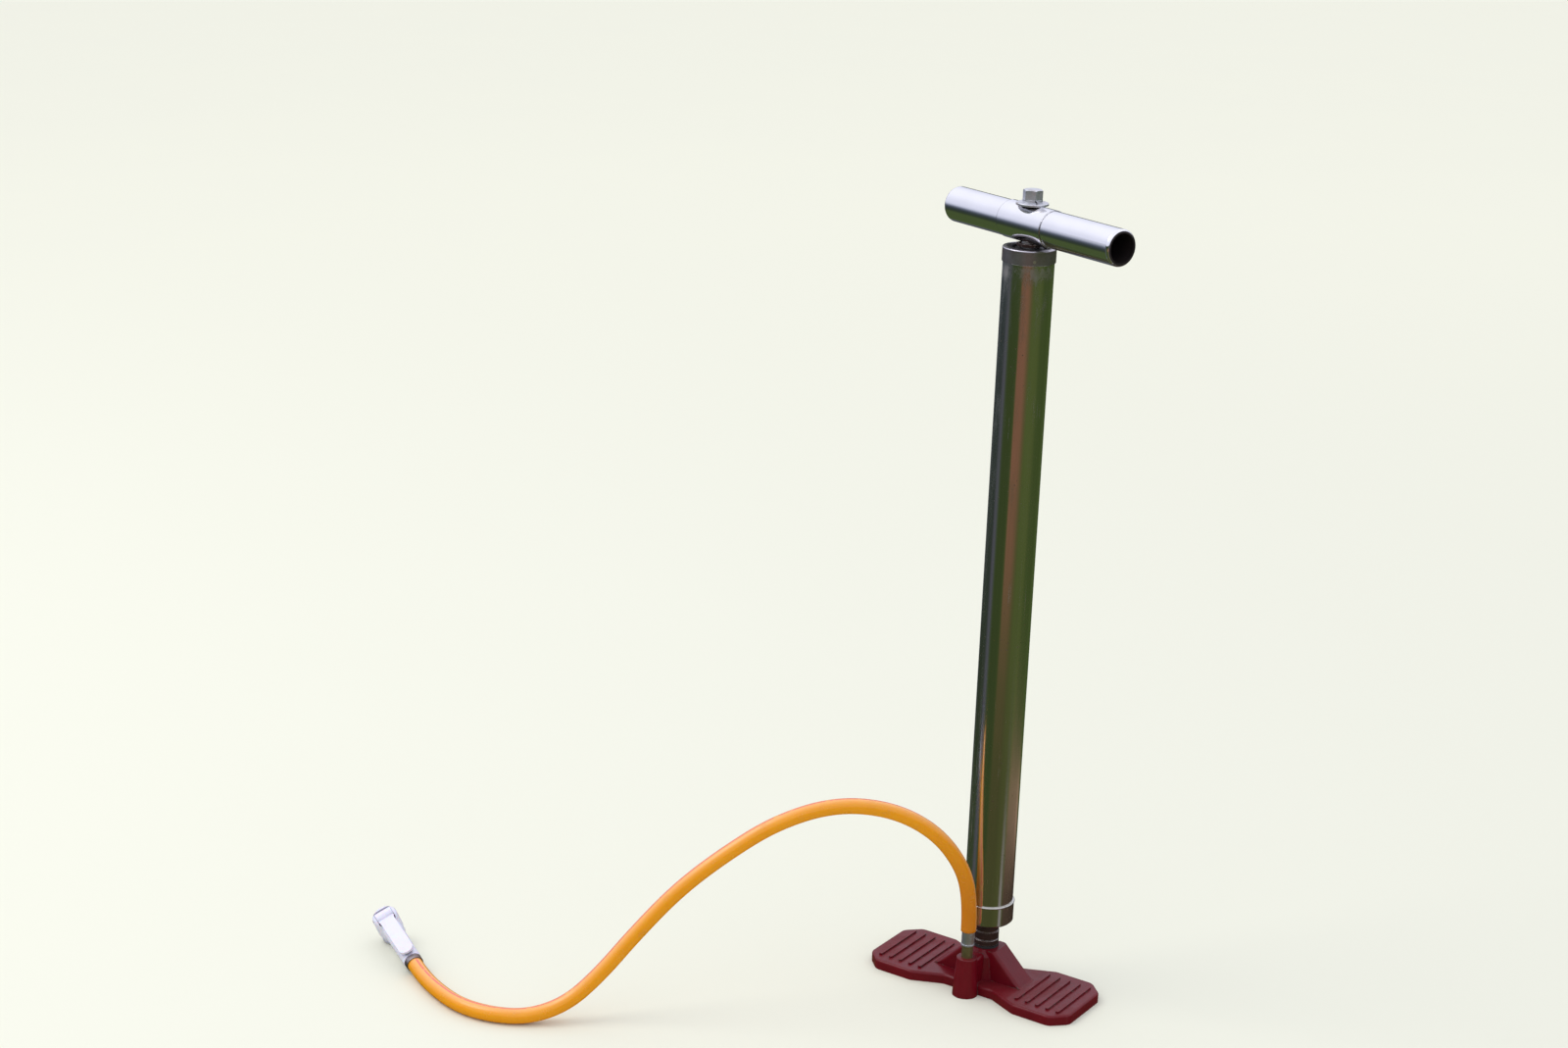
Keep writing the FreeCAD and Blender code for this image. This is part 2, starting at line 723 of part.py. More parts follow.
def chuck_barb():
    return placed(along_x(BARB_R, 0, BARB_LENGTH).cut(along_x(BARB_BORE_R, -1, BARB_LENGTH + 1)))


def head_blank():
    """The head's domed drum, with a spigot below for the collar."""
    drum = at_head(HEAD_R, HEAD_FOOT, HEAD_TOP)
    drum = drum.makeFillet(HEAD_ROUNDING, circles_at(drum, HEAD_TOP, None, (HEAD_AT, 0)))
    return drum.fuse(at_head(SPIGOT_R, GROMMET_FOOT, HEAD_FOOT))


def shank():
    """The stem from the ferrule to the head, round at its sides and flat under the lever and below."""
    length = HEAD_AT - FERRULE_LENGTH
    body = Part.makeCone(SHANK_R, SHANK_HEAD_R, length, Vector(FERRULE_LENGTH, 0, 0), Vector(1, 0, 0))
    return body.common(box(0, HEAD_AT, -CLEAR, CLEAR, HEAD_FOOT, SHANK_FLAT))


def lever_slot():
    """The room between the head's two cheeks for the lever's knuckle and its arm."""
    half = KNUCKLE_HALF + 0.25
    reach = CAM_R + CAM_OFFSET + 0.2
    room = across(reach, half, HEAD_AT, LEVER_PIN_UP)
    above = box(HEAD_AT, HEAD_AT + reach, -half, half, LEVER_PIN_UP, CLEAR)
    behind = box(HEAD_AT - CLEAR, HEAD_AT, -half, half, LEVER_UNDER - 0.3, CLEAR)
    return room.fuse([above, behind])


def chuck_body():
    body = head_blank().fuse(shank())
    body = body.cut(lever_slot())
    body = body.cut(at_head(PLUNGER_R + 0.08, HEAD_FOOT, LEVER_PIN_UP))
    body = body.cut(at_head(GROMMET_R + 0.1, COLLAR_FOOT, -1))
    body = body.cut(across(LEVER_PIN_R, CLEAR, HEAD_AT, LEVER_PIN_UP))
    body = body.cut(along_x(BARB_R, FERRULE_LENGTH - 1, BARB_LENGTH))
    body = body.cut(along_x(AIRWAY_R, BARB_LENGTH - 1, HEAD_AT))
    return placed(body.removeSplitter())


def chuck_cap():
    """The screwed collar that holds the grommet in, with grip flutes."""
    body = at_head(COLLAR_R, COLLAR_FOOT, COLLAR_TOP)
    foot_rim = circles_at(body, COLLAR_FOOT, None, (HEAD_AT, 0))
    top_rim = circles_at(body, COLLAR_TOP, None, (HEAD_AT, 0))
    body = body.makeFillet(0.8, foot_rim + top_rim)
    body = body.cut(at_head(SPIGOT_R + 0.1, GROMMET_FOOT, 0))
    body = body.cut(at_head(VALVE_R + 0.6, COLLAR_FOOT - 1, 0))
    for i in range(FLUTES):
        angle = 2 * math.pi * i / FLUTES
        x = HEAD_AT + (COLLAR_R + 0.5) * math.cos(angle)
        y = (COLLAR_R + 0.5) * math.sin(angle)
        body = body.cut(cyl(FLUTE_R, COLLAR_FOOT + 1.4, COLLAR_TOP - 1.3, x, y))
    return placed(body)


def chuck_grommet():
    return placed(ring(GROMMET_R, VALVE_R, GROMMET_FOOT, GROMMET_TOP, HEAD_AT))


def chuck_plunger():
    body = at_head(PLUNGER_R, PLUNGER_FOOT, PLUNGER_TOP)
    body = body.fuse(at_head(PLUNGER_FLANGE_R, PLUNGER_FOOT, PLUNGER_FLANGE_TOP))
    return placed(body.cut(at_head(AIRWAY_R, PLUNGER_FOOT - 1, -1)))


def lever_pin():
    return placed(across(LEVER_PIN_R, LEVER_PIN_HALF, HEAD_AT, LEVER_PIN_UP))


def smooth(points, start=None, finish=None):
    """A spline through points, with a stated direction at its start and its finish."""
    curve = Part.BSplineCurve()
    if start is None:
        curve.interpolate(points)
    else:
        curve.interpolate(Points=points, InitialTangent=start, FinalTangent=finish)
    return curve.toShape()


def arm_side():
    """The lever arm's outline seen from the side: low behind the head, then the thumb's raised pad."""
    top = [(HEAD_AT, 9.7), (HEAD_AT - 9, 9.4), (HEAD_AT - 22, 9.0), (HEAD_AT - 32, 9.2),
           (HEAD_AT - 37, 10.0), (HEAD_AT - 43, 10.6), (LEVER_TIP_AT, 11.0)]
    under = [(LEVER_TIP_AT, 9.2), (LEVER_TIP_AT + 8, 8.2),
             (HEAD_AT - 26, LEVER_UNDER + 0.1), (HEAD_AT, LEVER_UNDER)]
    upper = smooth([Vector(x, 0, z) for x, z in top])
    lower = smooth([Vector(x, 0, z) for x, z in under])
    tip = Part.LineSegment(Vector(top[-1][0], 0, top[-1][1]), Vector(under[0][0], 0, under[0][1]))
    root = Part.LineSegment(Vector(under[-1][0], 0, under[-1][1]), Vector(top[0][0], 0, top[0][1]))
    face = Part.Face(Part.Wire([upper, tip.toShape(), lower, root.toShape()]))
    face.translate(Vector(0, -KNUCKLE_HALF, 0))
    return face.extrude(Vector(0, 2 * KNUCKLE_HALF, 0))


def arm_plan():
    """The lever arm's outline from above: shoulders at the knuckle, an even arm and a round tip."""
    tip_at = LEVER_TIP_AT + LEVER_HALF
    back = Vector(-1, 0, 0)
    forward = Vector(1, 0, 0)
    shoulder = HEAD_AT - SHOULDER_AT
    neck = HEAD_AT - SHOULDER_END
    root = [Vector(HEAD_AT, side * KNUCKLE_HALF, 0) for side in (1, -1)]
    wide = [Vector(shoulder, side * KNUCKLE_HALF, 0) for side in (1, -1)]
    narrow = [Vector(neck, side * LEVER_HALF, 0) for side in (1, -1)]
    round_tip = [Vector(tip_at, side * LEVER_HALF, 0) for side in (1, -1)]
    outline = [
        Part.LineSegment(root[0], wide[0]).toShape(),
        smooth([wide[0], narrow[0]], back, back),
        Part.LineSegment(narrow[0], round_tip[0]).toShape(),
        Part.Arc(round_tip[0], Vector(LEVER_TIP_AT, 0, 0), round_tip[1]).toShape(),
        Part.LineSegment(round_tip[1], narrow[1]).toShape(),
        smooth([narrow[1], wide[1]], forward, forward),
        Part.LineSegment(wide[1], root[1]).toShape(),
        Part.LineSegment(root[1], root[0]).toShape(),
    ]
    return Part.Face(Part.Wire(outline)).extrude(Vector(0, 0, CLEAR))


def chuck_lever():
    arm = arm_side().common(arm_plan())
    knuckle = across(KNUCKLE_R, KNUCKLE_HALF, HEAD_AT, LEVER_PIN_UP)
    above = box(HEAD_AT - KNUCKLE_R, HEAD_AT + KNUCKLE_R, -KNUCKLE_HALF, KNUCKLE_HALF, LEVER_UNDER, CLEAR)
    cam = across(CAM_R, KNUCKLE_HALF, HEAD_AT + CAM_OFFSET, LEVER_PIN_UP)
    body = arm.fuse([knuckle.common(above), cam])
    body = body.cut(across(LEVER_PIN_R + RUNNING_FIT, CLEAR, HEAD_AT, LEVER_PIN_UP))
    return placed(body.removeSplitter())


PIECES = [
    foot_casting, passage_plug, check_ball, base_gasket, lock_ring, neck_collar, neck_nipple,
    bottom_cap, barrel_seal, barrel_tube, top_cap, cap_grub_screw, guide_bush, top_bumper,
    piston_nut, piston_lock_washer, piston_spreader, piston_cup, piston_top_washer, piston_rod,
    rod_locknut, handle_bar, handle_sleeve, handle_washer, handle_lock_washer, handle_bolt,
    hose_tail, tail_collar, hose,
    chuck_ferrule, chuck_barb, chuck_body, chuck_cap, chuck_grommet, chuck_plunger,
    lever_pin, chuck_lever,
]


def main():
    os.makedirs("parts", exist_ok=True)
    for make in PIECES:
        shape = make()
        if not shape.isValid():
            print("invalid shape:", make.__name__)
        print("%-20s solids %d  volume %.0f" % (make.__name__, len(shape.Solids), shape.Volume))
        shape.exportStep("parts/%s.step" % make.__name__)


main()
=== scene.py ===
import json
import math

import bpy
from mathutils import Matrix, Vector


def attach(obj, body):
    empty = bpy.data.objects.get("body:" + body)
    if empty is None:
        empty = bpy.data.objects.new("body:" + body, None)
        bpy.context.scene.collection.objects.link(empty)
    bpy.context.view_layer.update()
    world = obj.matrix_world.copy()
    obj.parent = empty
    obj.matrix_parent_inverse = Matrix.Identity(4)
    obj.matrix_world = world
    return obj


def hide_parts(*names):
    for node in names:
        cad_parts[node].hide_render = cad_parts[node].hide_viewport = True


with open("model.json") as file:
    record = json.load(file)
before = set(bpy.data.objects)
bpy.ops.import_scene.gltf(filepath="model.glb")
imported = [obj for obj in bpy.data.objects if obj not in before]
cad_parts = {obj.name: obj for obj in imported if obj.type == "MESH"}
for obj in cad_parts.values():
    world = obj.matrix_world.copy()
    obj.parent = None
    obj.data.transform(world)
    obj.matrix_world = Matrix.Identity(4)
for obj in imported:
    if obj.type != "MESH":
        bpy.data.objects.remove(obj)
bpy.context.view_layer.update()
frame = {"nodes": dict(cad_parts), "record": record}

MM = 0.001

# Camera: where it stands, and how it is turned (degrees)
CAMERA_AT = (0.9112, -1.6717, 0.9544)
CAMERA_YAW = -33.74         # 0 looks along +Y, positive turns towards +X
CAMERA_DOWN = 17.1
CAMERA_ROLL = -2.1
CAMERA_LENS = 60.75
CAMERA_AZIMUTH = 28.6       # where it stands round the barrel, from -Y towards +X

# Hose: its route's corners in millimetres, from the tail on the foot to the connector
HOSE_R = 6.0
HOSE_SIDES = 32
HOSE_OUTSIDE = Vector((0.69, 0.72, 0))      # from the arch's inside to its outside, where the line is
HOSE_ROUTE = [
    (0, -29, 54.3),
    (0, -29, 79),
    (-5.5, -34.5, 109),
    (-21.5, -51.5, 139.5),
    (-46.5, -77.5, 160),
    (-77, -109, 166),
    (-107.5, -141.5, 154),
    (-134.5, -169.5, 130),
    (-159, -194, 103),
    (-181, -217, 69),
    (-199, -237, 37),
    (-215, -256.5, 15),
    (-235, -277.5, 6),
    (-259, -292, 6),
    (-287.5, -295.5, 6),
    (-317, -287.5, 6),
    (-343.9, -275.3, 6),
    (-356.9, -268.6, 8.2),
]

# Places on the pump that the finishes follow, in metres
HANDLE_AT = Vector((0, 0, 0.6051))
HANDLE_TURN = math.radians(-21.5)
SLEEVE_MIDDLE = 0.001       # along the handle from the barrel's axis
SLEEVE_HALF = 0.0245
BARREL_R = 0.019
CARRIED_SIDE = (-0.88, -0.48)       # X and Y of the barrel's side that the hose is carried against
RUBBED_Z = (0.5655, 0.577)          # a band under the top cap
# Pairs of a height or radius: where an effect starts and where it is full
WORN_Z = (0.26, 0.56)
CAP_RIM_HIGHLIGHT_Z = (0.5868, 0.5882)
CAP_RECESS_SHADE_R = (0.0178, 0.0160)
ROD_DIRT_AND_SHADE_Z = (0.597, 0.601)
BOLT_HOLE_R = (0.00775, 0.00765)
BAR_INSIDE_R = (0.01235, 0.0121)

BACKGROUND = (0.896, 0.913, 0.823)


# ---------------------------------------------------------------- camera

def make_camera():
    yaw = math.radians(CAMERA_YAW)
    down = math.radians(CAMERA_DOWN)
    roll = math.radians(CAMERA_ROLL)
    ahead = Vector((math.sin(yaw) * math.cos(down), math.cos(yaw) * math.cos(down),
                    -math.sin(down)))
    level = Vector((math.cos(yaw), -math.sin(yaw), 0))
    below = ahead.cross(level)
    right = math.cos(roll) * level + math.sin(roll) * below
    lower = -math.sin(roll) * level + math.cos(roll) * below
    turn = Matrix((right, -lower, -ahead)).transposed()
    data = bpy.data.cameras.new("camera")
    data.lens = CAMERA_LENS
    data.clip_end = 100
    camera = bpy.data.objects.new("camera", data)
    camera.matrix_world = Matrix.Translation(CAMERA_AT) @ turn.to_4x4()
    bpy.context.scene.collection.objects.link(camera)
    bpy.context.scene.camera = camera


# ---------------------------------------------------------------- node helpers

class Nodes:
    """Short names for the nodes of one material or world."""

    def __init__(self, tree):
        self.tree = tree

    def add(self, kind, inputs=(), **settings):
        made = self.tree.nodes.new(kind)
        for name, value in settings.items():
            setattr(made, name, value)
        for name, value in dict(inputs).items():
            self.put(made.inputs[name], value)
        return made

    def put(self, socket, value):
        if isinstance(value, bpy.types.NodeSocket):
            self.tree.links.new(value, socket)
        else:
            socket.default_value = value

    def coords(self, kind="Object"):
        return self.add("ShaderNodeTexCoord").outputs[kind]

    def maths(self, operation, a, b=0.0):
        return self.add("ShaderNodeMath", {0: a, 1: b}, operation=operation).outputs[0]

    def times(self, *values):
        out = values[0]
        for value in values[1:]:
            out = self.maths("MULTIPLY", out, value)
        return out

    def plus(self, *values):
        out = values[0]
        for value in values[1:]:
            out = self.maths("ADD", out, value)
        return out

    def weighted(self, base, *pairs):
        """The base plus each pair's value times its weight."""
        return self.plus(base, *[self.times(value, weight) for value, weight in pairs])

    def vectors(self, operation, a, b, output="Vector"):
        made = self.add("ShaderNodeVectorMath", {0: a, 1: b}, operation=operation)
        return made.outputs[output]

    def length(self, vector):
        made = self.add("ShaderNodeVectorMath", {0: vector}, operation="LENGTH")
        return made.outputs["Value"]

    def scaled(self, vector, factors):
        return self.vectors("MULTIPLY", vector, factors)

    def moved(self, vector, amount):
        return self.vectors("ADD", vector, (amount, amount, amount))

    def from_barrel_axis(self, vector):
        return self.length(self.scaled(vector, (1, 1, 0)))

    def split(self, vector):
        return self.add("ShaderNodeSeparateXYZ", {0: vector}).outputs

    def combine(self, x, y, z):
        return self.add("ShaderNodeCombineXYZ", {0: x, 1: y, 2: z}).outputs[0]

    def noise(self, vector, scale, detail=4.0, roughness=0.5, stretch=None):
        if stretch:
            vector = self.scaled(vector, stretch)
        inputs = {"Vector": vector, "Scale": scale, "Detail": detail, "Roughness": roughness}
        return self.add("ShaderNodeTexNoise", inputs).outputs["Fac"]

    def patches(self, vector, scale, low, high, detail=4.0, roughness=0.5, stretch=None):
        """Noise cut to patches: 0 where it is below low, 1 where it is above high."""
        return self.steps(self.noise(vector, scale, detail, roughness, stretch), low, high)

    def cells(self, vector, scale):
        """Distance from the middle of random cells."""
        inputs = {"Vector": vector, "Scale": scale, "Randomness": 1.0}
        return self.add("ShaderNodeTexVoronoi", inputs).outputs["Distance"]

    def steps(self, value, low, high, to_low=0.0, to_high=1.0, linear=False):
        """Smooth change from to_low to to_high while value goes from low to high."""
        inputs = {"Value": value, "From Min": low, "From Max": high,
                  "To Min": to_low, "To Max": to_high}
        kind = "LINEAR" if linear else "SMOOTHSTEP"
        return self.add("ShaderNodeMapRange", inputs, interpolation_type=kind).outputs[0]

    def window(self, value, low, high, soft):
        rise = self.steps(value, low - soft, low + soft)
        fall = self.steps(value, high - soft, high + soft, 1.0, 0.0)
        return self.times(rise, fall)

    def mix(self, factor, a, b):
        made = self.add("ShaderNodeMix", data_type="RGBA")
        self.put(made.inputs[0], factor)
        self.put(made.inputs[6], colour(a))
        self.put(made.inputs[7], colour(b))
        return made.outputs[2]

    def ramp(self, factor, stops):
        made = self.add("ShaderNodeValToRGB", {"Fac": factor})
        elements = made.color_ramp.elements
        while len(elements) < len(stops):
            elements.new(0.5)
        for element, (place, value) in zip(elements, stops):
            element.position = place
            element.color = colour(value)
        return made.outputs["Color"]

    def bump(self, height, strength, distance):
        inputs = {"Height": height, "Strength": strength, "Distance": distance}
        return self.add("ShaderNodeBump", inputs).outputs["Normal"]


def colour(value):
    if isinstance(value, bpy.types.NodeSocket):
        return value
    return (*value, 1.0)


class Finish(Nodes):
    """A procedural material: a Principled shader and the nodes that feed it."""

    def __init__(self, name, **values):
        self.material = bpy.data.materials.new(name)
        self.material.use_nodes = True
        super().__init__(self.material.node_tree)
        self.shader = self.tree.nodes["Principled BSDF"]
        self.set(**values)

    def set(self, **values):
        for name, value in values.items():
            title = name.replace("_", " ").title().replace("Ior", "IOR")
            self.put(self.shader.inputs[title], colour(value) if "Color" in title else value)

    def edge_wear(self, radius):
        """0 on flat surfaces, rising to 1 on sharp edges."""
        rounded = self.add("ShaderNodeBevel", {"Radius": radius}, samples=4).outputs[0]
        true = self.add("ShaderNodeNewGeometry").outputs["Normal"]
        alike = self.vectors("DOT_PRODUCT", rounded, true, output="Value")
        return self.steps(self.maths("SUBTRACT", 1.0, alike), 0.01, 0.12)


# ---------------------------------------------------------------- surroundings

def ray_angles(n, ray):
    """Degrees above level, and degrees to the right of where the camera stands, -180 to 180."""
    parts = n.split(ray)
    height = n.times(n.maths("ARCSINE", parts[2]), 180 / math.pi)
    around = n.times(n.maths("ARCTAN2", parts[1], parts[0]), 180 / math.pi)
    offset = n.plus(around, 90 - CAMERA_AZIMUTH + 540)
    return height, n.plus(n.maths("MODULO", offset, 360), -180)


def hedge(n, height):
    """From dark grass at the bottom, up through a hedge's shade, to the sky over it."""
    return n.ramp(n.steps(height, -45, 15, linear=True), [
        (0.0, (0.060, 0.088, 0.030)),
        (0.30, (0.062, 0.090, 0.031)),
        (0.40, (0.030, 0.043, 0.024)),
        (0.53, (0.032, 0.044, 0.042)),
        (0.62, (0.070, 0.084, 0.108)),
        (0.675, (0.17, 0.19, 0.25)),
        (0.73, (0.37, 0.40, 0.51)),
        (0.79, (0.66, 0.69, 0.84)),
        (0.88, (0.80, 0.82, 0.97)),
    ])


def meadow(n, ray, height, side, beside):
    """Grass, and what stands or lies on it: each patch is where it is, its strength and colour."""
    grass = n.mix(n.noise(ray, 9, 4), (0.045, 0.075, 0.018), (0.085, 0.125, 0.04))
    earth = n.times(n.window(side, -30, 60, 8), n.steps(height, -22.5, -19, 1, 0))
    person = n.times(n.steps(side, -27, -20), n.steps(side, 2, 36, 1, 0), n.steps(height, -21, -17))
    dark_corner = n.times(n.window(side, 66, 176, 8), n.steps(height, -24.1, -23.5, 1, 0))
    skin = n.times(n.window(side, 66, 145, 9), n.window(height, -23.8, -22.2, 0.35))
    glint = n.times(n.window(side, 50, 62, 3), n.steps(height, -24.6, -23.4, 1, 0))
    for where, strength, tint in [
            (n.window(side, 25, 75, 12), 1.0, (0.10, 0.135, 0.04)),
            (n.window(side, -180, -72, 10), 1.0, (0.10, 0.105, 0.13)),
            (earth, 0.65, (0.082, 0.075, 0.032)),
            (beside, 1.0, hedge(n, height)),
            (n.window(side, -72, -28, 10), 1.0, (0.05, 0.075, 0.025)),
            (person, 0.9, (0.29, 0.135, 0.088)),
            (dark_corner, 0.9, (0.042, 0.022, 0.024)),
            (skin, 0.8, (0.55, 0.33, 0.25)),
            (glint, 0.7, (0.50, 0.45, 0.50))]:
        grass = n.mix(n.times(where, strength), grass, tint)
    return grass


def make_world():
    """Overcast sky over dark grass, seen only in reflections; plain and pale behind the object."""
    world = bpy.data.worlds.new("surroundings")
    world.use_nodes = True
    bpy.context.scene.world = world
    n = Nodes(world.node_tree)
    n.tree.nodes.clear()
    ray = n.coords("Generated")
    height, side = ray_angles(n, ray)
    beside = n.window(side, -160, -94, 8)
    wobble = n.noise(ray, 2.2, 3, stretch=(1, 1, 0.6))
    grass = meadow(n, ray, height, side, beside)
    bank = n.mix(n.noise(ray, 14, 3), (0.02, 0.032, 0.018), (0.04, 0.06, 0.03))
    near_horizon = n.steps(n.plus(height, n.times(wobble, 6)), -8, 2)
    ground = n.mix(n.times(near_horizon, n.maths("SUBTRACT", 1.0, beside)), grass, bank)
    sky = n.mix(n.steps(height, 8, 50), (0.80, 0.82, 0.97), (1.12, 1.13, 1.24))
    sky = n.mix(n.steps(height, 60, 85), sky, (0.98, 0.99, 1.12))
    skyline = n.steps(n.plus(height, n.times(wobble, -9)), 1.5, 6)
    skyline = n.maths("MAXIMUM", skyline, n.times(beside, n.steps(height, 8, 11)))
    seen = n.mix(skyline, ground, sky)
    straight = n.add("ShaderNodeLightPath").outputs["Is Camera Ray"]
    shown = n.mix(straight, seen, BACKGROUND)
    light = n.add("ShaderNodeBackground", {"Color": shown, "Strength": 1.0}).outputs[0]
    n.add("ShaderNodeOutputWorld", {"Surface": light})


def make_light(name, place, target, size, power, tint):
    data = bpy.data.lights.new(name, "AREA")
    data.shape = "DISK"
    data.size = size
    data.energy = power
    data.color = tint
    lamp = bpy.data.objects.new(name, data)
    lamp.location = place
    aim = Vector(target) - Vector(place)
    lamp.rotation_euler = aim.to_track_quat("-Z", "Y").to_euler()
    bpy.context.scene.collection.objects.link(lamp)


def make_floor():
    """A pale floor, painted lighter further from the object to make up for the softbox's light
    falling off, left out of reflections so that the plating reflects the grass.
    """
    reach = 30.0
    corners = [(-reach, -reach, 0), (reach, -reach, 0), (reach, reach, 0), (-reach, reach, 0)]
    mesh = bpy.data.meshes.new("floor")
    mesh.from_pydata(corners, [], [(0, 1, 2, 3)])
    floor = bpy.data.objects.new("floor", mesh)
    bpy.context.scene.collection.objects.link(floor)
    f = Finish("pale_floor", roughness=0.9, specular_ior_level=0.1)
    at = f.coords()
    # painted light: the floor's colour brightens with distance from the object, making up for the
    # softbox's falloff
    painted_falloff_fill = f.mix(f.steps(f.length(at), 0.2, 4.0), (0.775, 0.778, 0.640), (0.872, 0.870, 0.695))
    grain = f.noise(at, 3.0, 3)
    f.set(base_color=f.mix(f.times(grain, 0.2), painted_falloff_fill, (0.82, 0.823, 0.685)))
    mesh.materials.append(f.material)
    floor.visible_glossy = False


# ---------------------------------------------------------------- materials

def barrel_plating():
    """Old bright plate: long fine scratches, scuffs near the top cap and specks of rust."""
    f = Finish("barrel_plating", metallic=1.0)
    at = f.coords()
    x, y, z = f.split(at)
    streaks = f.noise(at, 1.0, 5, 0.6, (260, 260, 5))
    smudges = f.noise(at, 22, 4, 0.55)
    carried = f.plus(f.times(x, CARRIED_SIDE[0] / BARREL_R), f.times(y, CARRIED_SIDE[1] / BARREL_R))
    scuffed = f.times(f.steps(carried, 0.60, 0.98),
                      f.patches(at, 1.0, 0.15, 0.75, 4, 0.6, (160, 160, 9)))
    rubbed = f.times(f.window(z, *RUBBED_Z, 0.004),
                     f.patches(at, 1.0, 0.30, 0.72, 6, 0.65, (95, 95, 60)))
    worn = f.times(f.patches(at, 1.0, 0.48, 0.80, 6, 0.7, (150, 150, 28)), f.steps(z, *WORN_Z))
    scratches = f.times(f.patches(at, 1.0, 0.62, 0.70, 3, 0.5, (1400, 1400, 12)),
                        f.patches(at, 26, 0.48, 0.62, 3))
    specks = f.times(f.steps(f.cells(f.moved(at, 0.02), 210), 0.12, 0.07),
                     f.patches(at, 30, 0.52, 0.6, 3))
    pits = f.times(f.patches(at, 420, 0.66, 0.74, 3, 0.6), f.patches(at, 12, 0.45, 0.62, 2))
    rust = f.plus(specks, pits)
    tint = f.mix(streaks, (0.55, 0.54, 0.50), (0.70, 0.685, 0.645))
    tint = f.mix(f.times(f.weighted(rubbed, (worn, 0.6)), 0.6), tint, (0.56, 0.51, 0.50))
    tint = f.mix(f.times(rust, 0.8), tint, (0.16, 0.075, 0.03))
    rough = f.weighted(0.08, (smudges, 0.10), (rubbed, 0.30), (worn, 0.24), (scratches, 0.3),
                       (rust, 0.4), (scuffed, 0.20))
    height = f.weighted(0.0, (streaks, 0.5), (f.noise(at, 7, 2), 2.5), (specks, 0.5),
                        (scratches, -0.6))
    f.set(base_color=tint, roughness=f.maths("MINIMUM", rough, 0.8),
          normal=f.bump(height, 0.10, 0.0004))
    return f.material


def handle_plating():
    """Clean bright plate with light handling marks; the bar's inside and the bolt hole are bare rusty
    steel, darkened to near black as painted shade, and the sleeve's joints carry grime and painted
    shade.
    """
    f = Finish("handle_plating", metallic=1.0)
    at = f.coords()
    along = Vector((math.cos(HANDLE_TURN), math.sin(HANDLE_TURN), 0))
    from_axis = f.vectors("SUBTRACT", at, HANDLE_AT)
    radius = f.length(f.vectors("CROSS_PRODUCT", from_axis, along))
    down_bar = f.vectors("DOT_PRODUCT", from_axis, along, output="Value")
    # inside the bar and the bolt hole: bare rusty steel, its colour darkened to near black as painted
    # shade
    hole = f.steps(f.from_barrel_axis(at), *BOLT_HOLE_R)
    inside = f.maths("MAXIMUM", hole, f.steps(radius, *BAR_INSIDE_R))
    from_middle = f.maths("ABSOLUTE", f.plus(down_bar, -SLEEVE_MIDDLE))
    from_joint = f.maths("ABSOLUTE", f.plus(from_middle, -SLEEVE_HALF))
    # grime at the sleeve's ends, also standing in as painted shade of the gap at the joints
    grime = f.times(f.steps(from_joint, 0.0011, 0.0002),
                    f.patches(at, 210, 0.36, 0.58, 4, 0.6), 0.55)
    smudges = f.noise(at, 45, 4, 0.6)
    hairlines = f.noise(at, 1.0, 3, 0.6, (900, 900, 120))
    # the inside's near-black colour: rust, darkened further as painted shade
    rust = f.mix(f.noise(at, 160, 4), (0.005, 0.003, 0.004), (0.022, 0.012, 0.010))
    tint = f.mix(smudges, (0.80, 0.80, 0.82), (0.90, 0.90, 0.93))
    tint = f.mix(grime, tint, (0.16, 0.15, 0.17))
    f.set(base_color=f.mix(inside, tint, rust),
          roughness=f.weighted(0.05, (smudges, 0.10), (hairlines, 0.04), (inside, 0.6),
                               (grime, 0.3)),
          metallic=f.weighted(1.0, (inside, -0.9)),
          normal=f.bump(f.weighted(hairlines, (smudges, 0.6)), 0.05, 0.0002))
    return f.material


def zinc():
    """Zinc-plated steel: cloudy, with a few warm stains."""
    f = Finish("zinc_steel", metallic=1.0)
    at = f.coords()
    clouds = f.noise(at, 260, 4, 0.6)
    stains = f.patches(at, 130, 0.56, 0.68, 3)
    shade = f.mix(clouds, (0.576, 0.5832, 0.612), (0.80, 0.81, 0.85))
    shade = f.mix(f.times(stains, 0.45), shade, (0.34, 0.24, 0.17))
    f.set(base_color=shade, roughness=f.weighted(0.36, (clouds, 0.14), (stains, 0.15)),
          normal=f.bump(f.noise(at, 1500, 2), 0.08, 0.0001))
    return f.material


